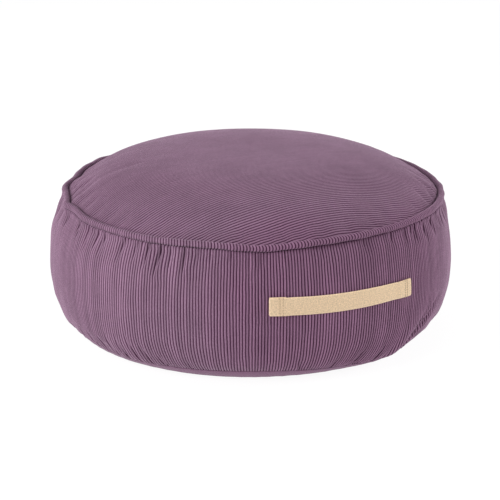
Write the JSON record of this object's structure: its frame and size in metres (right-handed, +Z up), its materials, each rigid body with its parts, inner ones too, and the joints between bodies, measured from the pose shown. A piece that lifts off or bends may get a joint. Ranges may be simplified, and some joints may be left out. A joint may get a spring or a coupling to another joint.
{
  "type": "corduroy floor pouf",
  "caption": "Round filled floor pouf in wide-wale corduroy: crowned top, bulging side band, piped top seam and a webbing carrying handle stitched to the side.",
  "frame": {"origin": "middle of the flat underside, on the surface the pouf stands on", "axes": "+Z up; -Y is the front, and +X is to the right as seen from the front; the handle runs from the front towards +X"},
  "size_m": [0.4996, 0.503, 0.219],
  "materials": {
    "corduroy": "dusty mauve cotton corduroy with wide raised wales",
    "bottom_cloth": "smooth plain-woven cotton in the same mauve",
    "webbing": "sand-coloured woven cotton webbing"
  },
  "bodies": {
    "root": {"side_band": "corduroy", "top_panel": "corduroy", "top_piping": "corduroy", "bottom_panel": "bottom_cloth", "handle": "webbing"}
  },
  "joints": []
}
